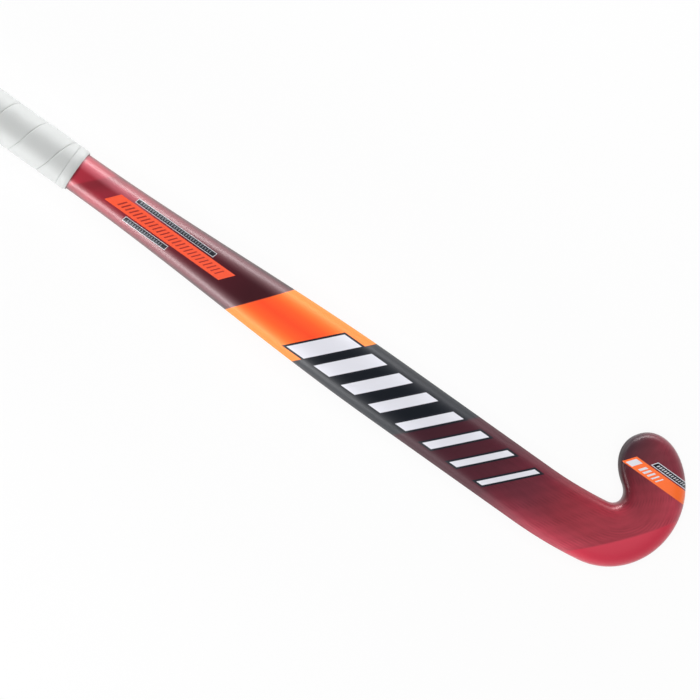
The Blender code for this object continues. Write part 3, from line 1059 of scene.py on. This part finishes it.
    def _lower(self, graph: Graph, spot: Spot, lead: Signal) -> Signal:
        """Paint the lower shaft and the head.

        Args:
            graph: The material's graph.
            spot: The place.
            lead: The reach along the blocks' wavering ends.

        Returns:
            The wine, with a painted sheen on its heel side, the dark toe, painted shade on the hook's
            inner rim, and the crimson.
        """
        art, side, rim = self.art, spot.side, spot.rim
        # Painted sheen: the heel side of the wine is paled towards pink, as if lit from that side.
        heel_side = (0 - rim).rise(0.1, 0.9) * spot.reach.rise(*self.heel_fade)
        wine = graph.fade(spot.reach, art.wine)
        wine = graph.blend(heel_side * self.heel_painted_sheen, wine, srgb(206, 78, 96))
        start, end = self.dusk
        dusk = ((end - spot.reach) / (end - start)).at_most(1.0)
        dusk = dusk.at_least(side.rise(*self.toe_dusk) * self.toe_dark)
        dark = graph.blend(side.rise(*self.toe_grey), srgb(58, 14, 26), srgb(58, 38, 46))
        hook = side.rise(*self.hook)
        wine = graph.blend(dusk * hook, wine, dark)
        # Painted shade on the inner rim of the hook.
        wine = graph.shade(wine, 1 - self.painted_hook_shade * rim.rise(0.7, 1.0) * hook)
        wine = self._fibre(graph, spot, lead, wine)
        return graph.blend(art.past_crimson(lead, spot), wine, srgb(208, 58, 79))

    def _fibre(self, graph: Graph, spot: Spot, lead: Signal, colour: Signal) -> Signal:
        """Let the fibre show through: faint bands, with strokes in some of them.

        Args:
            graph: The material's graph.
            spot: The place.
            lead: The reach along the blocks' wavering ends.
            colour: The colour over the fibre.

        Returns:
            The colour with the fibre in it.
        """
        along, girth, _ = graph.split(graph.coordinates("UV"))
        drift = graph.noise(30, 3.0) * 9
        bands = ((lead + drift) * (math.tau / self.band_pitch)).sine()
        grain = graph.noise(1.0, 3.0, graph.joined(along * 75, girth * 420)) - 0.5
        hatched = (lead * (math.tau / self.hatch_pitch)).sine().rise(0.2, 0.9)
        strokes = (girth * (math.tau / self.stroke_pitch) + drift * 0.4).sine() * hatched
        fibre = bands * self.band_depth + grain * self.fibre_grain + strokes * self.stroke_depth
        return graph.shade(colour, 1 + spot.reach.rise(*self.fibre_start) * fibre)


@dataclass(frozen=True)
class GrainFinish:
    """A wood with its grain along the stick.

    Attributes:
        name: Name of the material.
        pale: Colour of the wood between the grain lines.
        deep: Colour of the grain lines.
        scale: How close the lines lie.
        roughness: Roughness of the sanded wood.
        stretch: How close the grain's noise is along the stick, against across it.
        pore_depth: Depth of the pores.
    """

    name: str
    pale: Colour
    deep: Colour
    scale: float
    roughness: float
    stretch: float = 0.06
    pore_depth: float = 0.0002

    def build(self) -> bpy.types.Material:
        """Draw out the noise along the stick into grain.

        Returns:
            The material.
        """
        material, graph = new_material(self.name)
        x, y, z = graph.split(graph.coordinates())
        stretched = graph.joined(x * self.stretch, y, z)
        grain = graph.noise(self.scale, 4.0, stretched)
        pores = graph.noise(self.scale * 5, 2.0, stretched)
        graph.surface(
            Base_Color=graph.blend(grain.rise(0.35, 0.65), self.pale, self.deep),
            Roughness=self.roughness + 0.15 * pores,
            Normal=graph.bump(pores, self.pore_depth, 0.5),
        )
        return material


@dataclass(frozen=True)
class MouldedFinish:
    """Rubber or polyurethane with a fine skin.

    Attributes:
        name: Name of the material.
        colour: Its colour.
        shadow: Its colour in the pores.
        scale: How fine the skin is.
        roughness: Roughness of the skin.
        depth: Depth of the pores in metres.
    """

    name: str
    colour: Colour
    shadow: Colour
    scale: float
    roughness: float
    depth: float

    def build(self) -> bpy.types.Material:
        """Give the skin its pores, and a cloudy tone all over.

        Returns:
            The material.
        """
        material, graph = new_material(self.name)
        skin = graph.noise(self.scale, 3.0)
        cloud = graph.noise(18, 2.0)
        shaded = skin.rise(0.55, 0.8) * 0.5 + cloud.rise(0.4, 0.9) * 0.3
        graph.surface(
            Base_Color=graph.blend(shaded, self.colour, self.shadow),
            Roughness=self.roughness + 0.12 * skin,
            Specular_IOR_Level=0.4,
            Normal=graph.bump(skin, self.depth, 0.6),
        )
        return material


@dataclass(frozen=True)
class CarbonFinish:
    """Carbon in a twill, seen through a thin film of resin.

    Attributes:
        name: Name of the material.
        tow: Width of one tow of fibre.
    """

    name: str = "carbon_twill"
    tow: float = 0.0022

    def build(self) -> bpy.types.Material:
        """Weave the tows over each other.

        Returns:
            The material.
        """
        material, graph = new_material(self.name)
        x, y, _ = graph.split(graph.coordinates())
        step = (x / self.tow).floor() + (y / self.tow).floor()
        warp = (step % 4).past(1.5, 0.01)
        thread = graph.noise(5000, 1.0, graph.joined(x, y * 0.1)) * warp
        graph.surface(
            Base_Color=graph.blend(warp * 0.7 + thread * 0.3, srgb(16, 17, 19), srgb(46, 48, 52)),
            Roughness=0.34 + 0.12 * warp,
            Coat_Weight=0.5,
            Normal=graph.bump(warp, 0.0001, 0.4),
        )
        return material


# The stick's pieces


@dataclass
class SleeveAssembly:
    """The composite sleeve: one wall from the butt to the toe.

    Attributes:
        start: Where the sleeve begins behind the cap's flange.
        wall: Thickness of the wall.
        rows: How many rows of faces each stretch of the sleeve has, from the butt to the toe.
        finish: Its lacquer and print.
    """

    start: float = 0.0033
    wall: float = 0.0013
    rows: tuple[int, ...] = (8, 40, 20, 18, 40, 30, 26)
    finish: LacquerFinish = LacquerFinish()

    def stations(self) -> list[float]:
        """Space the rings along the path, closer where the toe rounds off.

        Returns:
            Their places on the path.
        """
        flare_end = SHAPE.grip_length + SHAPE.flare_length
        marks = [self.start, SHAPE.grip_length, flare_end, *SHAPE.bend_places]
        places = [self.start]
        for low, high, count in zip(marks, marks[1:], self.rows):
            places += spaced(low, high, count)[1:]
        turns = quarter(self.rows[-1])[1:]
        return places + [marks[-1] + SHAPE.toe_reach * math.sin(turn) for turn in turns]

    def build(self) -> bpy.types.Object:
        """Shape the skin, keep its place across for the print, and thicken it inwards.

        Returns:
            The sleeve.
        """
        places = self.stations()
        rings = [SHAPE.section(along, 0.0, Columns.SLEEVE) for along in places]
        total = Columns.SLEEVE.total
        girths = [self._girths(ring) for ring in rings]

        def locate(column: int, row: int) -> Vector:
            """Return the point."""
            return SHAPE.place(places[row], *rings[row][column % total])

        def chart(column: int, row: int) -> tuple[float, float]:
            """Return the place along the stick and the distance round it."""
            return places[row], girths[row][column]

        def across(column: int, row: int) -> float:
            """Return the place across, signed, 1 at the widest part."""
            return rings[row][column % total][0] / max(SHAPE.size_at(places[row])[0], WELD)

        skin = lofted(total, len(places) - 1, locate, chart, across)
        sleeve = as_object("lacquered_sleeve", skin, self.finish.build())
        shell = sleeve.modifiers.new("wall", "SOLIDIFY")
        shell.thickness = self.wall
        shell.offset = -1
        shell.use_even_offset = True
        return sleeve

    @staticmethod
    def _girths(ring: Sequence[tuple[float, float]]) -> list[float]:
        """Measure the way round a section.

        Args:
            ring: The section's points.

        Returns:
            The distance round at each point, and at last back at the first.
        """
        girths = [0.0]
        for first, second in zip(ring, [*ring[1:], ring[0]]):
            girths.append(girths[-1] + math.dist(first, second))
        return girths

    def dress(self) -> None:
        """Build the sleeve and put it in place of its CAD node."""
        hand_over(self.build(), "composite_sleeve")


class Edge(Enum):
    """The edge of the wound strip that a corner of its section follows."""

    FAR = "towards the head"
    NEAR = "towards the butt"


@dataclass
class GripAssembly:
    """What covers the handle: the wound grip, the finishing tape and the butt cap.

    Attributes:
        gap: Clearance over the sleeve.
        start: Where the winding starts.
        end: Where it ends, under the finishing tape.
        thickness: Thickness of the grip.
        width: Width of the strip.
        seam: Gap between turns.
        point: Width of the strip at its cut ends.
        shoulder: Width of the rounded edges of the strip.
        shoulder_drop: Height of these edges.
        shoulder_steps: Steps of their rounding.
        crest: How far in a corner lies on the strip's level top, as a share of its width.
        start_turn: Where round the handle the winding starts, as a share of a turn.
        steps: Steps of the winding in each turn.
        band: Width of the finishing tape.
        band_edge: Thickness of the finishing tape at the painted shaft.
        band_bevel: Bevel of its edges.
        band_slope: Rings of its slope down to the shaft, as shares of its width.
        flange: Thickness of the butt cap's flange.
        rim: Radius of the flange's rim.
        rim_steps: Steps of its rounding.
        stem: Length of the stem in the sleeve.
        stem_inset: Depth of the stem's skin in the stick.
        dish: Depth of the hollow in the end of the cap.
        dish_edge: Rings of the hollow's edge, as share of its depth and depth in the stick.
        inmost: Depth in the stick of the last ring on the cap's flat ends.
        grip_finish: What the grip is made of.
        band_finish: What the finishing tape is made of.
        cap_finish: What the cap is made of.
    """

    gap: float = 0.0003
    start: float = 0.0033
    end: float = 0.39195
    thickness: float = 0.0017
    width: float = 0.02635
    seam: float = 0.00005
    point: float = 0.0030
    shoulder: float = 0.0022
    shoulder_drop: float = 0.0006
    shoulder_steps: int = 5
    crest: float = 0.3
    start_turn: float = 0.708
    steps: int = Columns.HANDLE.total
    band: float = 0.0080
    band_edge: float = 0.0008
    band_bevel: float = 0.0002
    band_slope: tuple[float, ...] = (0.7, 0.8, 0.88, 0.95)
    flange: float = 0.0030
    rim: float = 0.0012
    rim_steps: int = 6
    stem: float = 0.0120
    stem_inset: float = 0.0017
    dish: float = 0.0007
    dish_edge: tuple[tuple[float, float], ...] = ((1.0, 0.0060), (0.7, 0.0052), (0.0, 0.0044))
    inmost: float = 0.0085
    grip_finish: MouldedFinish = MouldedFinish(
        "grip_polyurethane", srgb(188, 190, 189), srgb(172, 174, 174), 1400, 0.55, 0.00006
    )
    band_finish: MouldedFinish = MouldedFinish(
        "finishing_tape", srgb(188, 190, 189), srgb(174, 176, 176), 1400, 0.5, 0.00002
    )
    cap_finish: MouldedFinish = MouldedFinish(
        "end_cap_rubber", srgb(205, 206, 205), srgb(180, 182, 182), 900, 0.6, 0.00004
    )

    def winding(self) -> bpy.types.Object:
        """Wind one strip with rounded edges from the butt to the shaft.

        Returns:
            The grip.
        """
        pitch = self.width + self.seam
        travel = self.end - self.start + self.width - 2 * self.point
        count = round(travel / pitch * self.steps)
        first = round(self.start_turn * self.steps)
        profile = self._strip_profile()
        rings = {
            height: SHAPE.section(SHAPE.grip_length / 2, -height, Columns.HANDLE)
            for _, _, height in profile
        }

        def locate(column: int, row: int) -> Vector:
            """Find a corner of the strip, held between the winding's ends.

            Args:
                column: Which corner of its section.
                row: Which step of the winding.

            Returns:
                The point.
            """
            front = self.start + self.point + pitch * row / self.steps
            far, near = min(front, self.end), max(front - self.width, self.start)
            edge, inwards, height = profile[column % len(profile)]
            inwards = min(inwards, (far - near) / 2)
            along = near + inwards if edge is Edge.NEAR else far - inwards
            return SHAPE.place(along, *rings[height][(first - row) % self.steps])

        def chart(column: int, row: int) -> tuple[float, float]:
            """Return the number of turns and the place round the strip's section."""
            return row / self.steps, column / len(profile)

        skin = closed(lofted(len(profile), count, locate, chart))
        return as_object("wound_grip", skin, self.grip_finish.build())

    def _strip_profile(self) -> list[tuple[Edge, float, float]]:
        """Draw the section of the strip.

        Returns:
            For each corner the edge that it follows, how far in it is, and its height.
        """
        low, high = self.gap, self.gap + self.thickness
        curve = [
            (self.shoulder * (1 - math.cos(turn)), high - self.shoulder_drop * (1 - math.sin(turn)))
            for turn in quarter(self.shoulder_steps)
        ]
        side = [(0.0, low), *curve, (self.width * self.crest, high)]
        far = [(Edge.FAR, inwards, height) for inwards, height in side]
        return far + [(Edge.NEAR, inwards, height) for inwards, height in reversed(side)]

    def _around(self, profile: Sequence[tuple[float, float]], rows: int) -> bmesh.types.BMesh:
        """Run rings round the handle.

        Args:
            profile: Place on the path and depth in the stick of each ring.
            rows: How many rows of faces join them, one for each ring if the last joins the first.

        Returns:
            The skin, with its ends filled.
        """
        rings = [SHAPE.section(along, inset, Columns.HANDLE) for along, inset in profile]
        total, count = Columns.HANDLE.total, len(profile)

        def locate(column: int, row: int) -> Vector:
            """Return the point."""
            return SHAPE.place(profile[row % count][0], *rings[row % count][column % total])

        def chart(column: int, row: int) -> tuple[float, float]:
            """Return the place round the handle and the place round the profile."""
            return column / total, row / count

        return closed(lofted(total, rows, locate, chart))

    def finishing_tape(self) -> bpy.types.Object:
        """Close the grip with a band that slopes down to the painted shaft.

        Returns:
            The finishing tape.
        """
        start, end, bevel = SHAPE.grip_length - self.band, SHAPE.grip_length, self.band_bevel
        low, high, edge = self.gap, self.gap + self.thickness, self.gap + self.band_edge
        level = self.band_slope[0]
        slope = [
            (mix(start, end, share), mix(high, edge, ease((share - level) / (1 - level))))
            for share in self.band_slope
        ]
        outline = [(start, low), (start, high - bevel), (start + bevel, high)]
        outline += [*slope, (end - bevel, edge), (end, edge - bevel), (end, low)]
        skin = self._around([(along, -height) for along, height in outline], len(outline))
        return as_object("finishing_band", skin, self.band_finish.build())

    def butt_cap(self) -> bpy.types.Object:
        """Cap all the ends with a dished flange that has a stem in the sleeve.

        Returns:
            The butt cap.
        """
        stem_end = self.flange + self.stem
        profile = [(self.dish, self.inmost)]
        profile += [(self.dish * share, inset) for share, inset in self.dish_edge]
        profile += [
            (self.rim * (1 - math.sin(turn)), SHAPE.cap_inset + self.rim * (1 - math.cos(turn)))
            for turn in reversed(quarter(self.rim_steps))
        ]
        profile += [(self.flange, SHAPE.cap_inset), (self.flange, self.stem_inset)]
        profile += [(stem_end, self.stem_inset), (stem_end, self.inmost)]
        skin = self._around(profile, len(profile) - 1)
        return as_object("butt_end_cap", skin, self.cap_finish.build())

    def dress(self) -> None:
        """Build the three pieces and put them in place of their CAD nodes."""
        hand_over(self.winding(), "grip_tape")
        hand_over(self.finishing_tape(), "finishing_tape")
        hand_over(self.butt_cap(), "butt_cap")


@dataclass
class CoreAssembly:
    """What the sleeve holds: the laminated head, the spliced handle and the face strip.

    Attributes:
        mulberry: Wood of the head's plies.
        cane: Wood of the handle's staves.
        rubber: Rubber of the damper slips.
        carbon: Carbon of the face strip.
    """

    mulberry: GrainFinish = GrainFinish(
        "mulberry_wood", srgb(205, 168, 116), srgb(158, 112, 62), 260, 0.5
    )
    cane: GrainFinish = GrainFinish(
        "handle_cane", srgb(222, 194, 146), srgb(188, 150, 98), 420, 0.55
    )
    rubber: MouldedFinish = MouldedFinish(
        "damper_rubber", srgb(40, 40, 42), srgb(24, 24, 26), 1200, 0.7, 0.00005
    )
    carbon: CarbonFinish = CarbonFinish()

    def dress(self) -> None:
        """Give each hidden CAD node its material."""
        finishes = {
            "head_ply": self.mulberry,
            "handle_stave": self.cane,
            "damper_slip": self.rubber,
            "face_strip": self.carbon,
        }
        for start, finish in finishes.items():
            material = finish.build()
            members = [node for name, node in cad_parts.items() if name.startswith(start)]
            for node in members:
                for slot in node.material_slots:
                    slot.material = material
            log.info("%s: %d nodes in %s", start, len(members), finish.name)


# Studio


@dataclass(frozen=True)
class Lamp:
    """A soft rectangular lamp, which the camera doesn't see.

    Attributes:
        name: Its name.
        place: Its middle.
        aim: The point that it faces.
        size: Its length and height.
        radiance: How bright its face is.
        mirrored: Whether it shows in what is glossy.
    """

    name: str
    place: Place
    aim: Place
    size: Span
    radiance: float
    mirrored: bool = True

    def hang(self) -> None:
        """Put the lamp in the scene."""
        light = bpy.data.lights.new(self.name, "AREA")
        light.shape = "RECTANGLE"
        light.size, light.size_y = self.size
        light.energy = self.radiance * math.pi * self.size[0] * self.size[1]
        lamp = bpy.data.objects.new(self.name, light)
        lamp.location = self.place
        ahead = Vector(self.aim) - Vector(self.place)
        lamp.rotation_euler = ahead.to_track_quat("-Z", "Y").to_euler()
        lamp.visible_camera = False
        lamp.visible_glossy = self.mirrored
        bpy.context.scene.collection.objects.link(lamp)


@dataclass
class Studio:
    """A pale floor, long soft lamps on both sides and a camera straight above.

    Attributes:
        frame_width: Pixels across the frame.
        scale: Pixels for each metre.
        turn: How far the stick points down to the right in the frame.
        centre: The place under the middle of the frame.
        distance: Height of the camera over it.
        sensor: Width of the camera's sensor in millimetres.
        sight: How far the camera sees.
        floor_half: Half the width of the floor.
        floor_white: How much of the floor near the stick is plain white to the camera.
        floor_mirrored: How much of that white shows in what is glossy.
        white_along: Where along the stick the floor gets all white.
        white_across: Where to the side it does.
        room: Brightness of the room at heights from the floor, 0, to straight overhead, 1.
        lamp_side: Distance of the long lamps from the stick.
        lamp_height: Height of their middle.
        lamp_size: Height of their faces.
        aim_height: Height over the floor that they face.
        strips: Name, start and end of each pair of long lamps, and how bright the two are.
        lone_lamps: The short lamp past the butt, and the fill overhead.
    """

    frame_width: int = 700
    scale: float = 1312.3
    turn: float = math.radians(35.4)
    centre: Place = (0.1836, -0.0250, 0.015)
    distance: float = 5.0
    sensor: float = 36.0
    sight: float = 100.0
    floor_half: float = 6.0
    floor_white: float = 0.92
    floor_mirrored: float = 0.4
    white_along: Span = (0.9, 1.25)
    white_across: Span = (0.5, 0.85)
    room: tuple[Span, ...] = ((0.0, 0.5), (0.25, 0.4), (0.6, 0.1), (1.0, 0.05))
    lamp_side: float = 0.95
    lamp_height: float = 0.19
    lamp_size: float = 0.26
    aim_height: float = 0.02
    strips: tuple[tuple[str, float, float, float, float], ...] = (
        ("butt", -1.3, -0.02, 12.8, 11.0),
        ("label", -0.02, 0.17, 6.7, 7.9),
        ("head", 0.17, 0.44, 3.1, 3.5),
    )
    lone_lamps: tuple[Lamp, ...] = (
        Lamp("butt_strip", (-2.9, 0.0, 0.2), (0.3, 0.0, 0.02), (0.9, 0.3), 11.0),
        Lamp("fill", (0.6, 0.0, 2.2), (0.6, 0.0, 0.0), (2.4, 2.4), 2.6, mirrored=False),
    )

    def floor(self) -> None:
        """Lay the floor: nearly white where it is seen, with the stick's faint shadow."""
        material, graph = new_material("pale_floor")
        lit = graph.node("ShaderNodeBsdfDiffuse", sockets={"Color": (0.8, 0.8, 0.8, 1.0)})
        sockets = {"Color": (1.0, 1.0, 1.0, 1.0), "Strength": 1.0}
        white = graph.node("ShaderNodeEmission", sockets=sockets)
        x, y, _ = graph.split(graph.coordinates())
        far = abs(y).rise(*self.white_across).at_least(abs(x).rise(*self.white_along))
        share = self._seen(graph) * (self.floor_white + (1 - self.floor_white) * far)
        mixed = graph.node("ShaderNodeMixShader", sockets={0: share, 1: lit, 2: white})
        graph.node("ShaderNodeOutputMaterial", sockets={"Surface": mixed})
        plane = bmesh.new()
        bmesh.ops.create_grid(plane, x_segments=1, y_segments=1, size=self.floor_half)
        floor = as_object("pale_floor", plane, material)
        floor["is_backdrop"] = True

    def _seen(self, graph: Graph) -> Signal:
        """Tell how much of the plain white a ray sees.

        Args:
            graph: The floor's graph.

        Returns:
            1 for rays from the camera or through glass, less in a mirror, and 0 for all others.
        """
        camera = graph.node("ShaderNodeLightPath", output="Is Camera Ray")
        outputs = camera.socket.node.outputs
        through = Signal(graph, outputs["Is Transmission Ray"])
        mirrored = Signal(graph, outputs["Is Glossy Ray"]) * self.floor_mirrored
        return camera.at_least(mirrored).at_least(through)

    def world(self) -> None:
        """Fill the room: white to the camera, pale low down and dim overhead for all else."""
        world = bpy.data.worlds.new("studio")
        bpy.context.scene.world = world
        world.use_nodes = True
        graph = Graph(world.node_tree)
        height = graph.split(graph.coordinates("Generated"))[2]
        room = graph.ramp(height, [(share, (bright,) * 3) for share, bright in self.room])
        camera = graph.node("ShaderNodeLightPath", output="Is Camera Ray")
        colour = graph.blend(camera, room, (1.0, 1.0, 1.0))
        sky = graph.node("ShaderNodeBackground", sockets={"Color": colour, "Strength": 1.0})
        graph.node("ShaderNodeOutputWorld", sockets={"Surface": sky})

    def lamps(self) -> None:
        """Hang a long row of low lamps on each side, then the lone ones."""
        for name, start, end, toe_side, heel_side in self.strips:
            middle, size = (start + end) / 2, (end - start, self.lamp_size)
            aim = (middle, 0.0, self.aim_height)
            for row, side, radiance in (("toe_side", 1, toe_side), ("heel_side", -1, heel_side)):
                place = (middle, side * self.lamp_side, self.lamp_height)
                Lamp(f"{row}_{name}_strip", place, aim, size, radiance).hang()
        for lamp in self.lone_lamps:
            lamp.hang()

    def camera(self) -> None:
        """Look straight down, turned so that the stick runs down to the right."""
        data = bpy.data.cameras.new("camera")
        data.sensor_width = self.sensor
        data.lens = self.sensor * self.distance * self.scale / self.frame_width
        data.clip_end = self.sight
        camera = bpy.data.objects.new("camera", data)
        camera.location = Vector(self.centre) + Vector((0, 0, self.distance))
        camera.rotation_euler = (0, 0, self.turn)
        bpy.context.scene.collection.objects.link(camera)
        bpy.context.scene.camera = camera

    def dress(self) -> None:
        """Set up the whole studio."""
        bpy.context.scene.view_settings.view_transform = "Standard"
        self.floor()
        self.world()
        self.lamps()
        self.camera()


def write_sizes(corners: Iterable[Vector]) -> None:
    """Turn the corners of the CAD box and of the box of the looks into lists of plain numbers."""
    [list(corner) for corner in corners]


def main() -> None:
    """Build every sub-assembly in order and report it."""
    logging.basicConfig(level=logging.INFO, format="%(name)s: %(message)s")
    for assembly in (CoreAssembly(), SleeveAssembly(), GripAssembly(), Studio()):
        assembly.dress()
        log.info("%s is in place", type(assembly).__name__)
    write_sizes([*CAD_BOX, *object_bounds()])


if __name__ == "__main__":
    main()
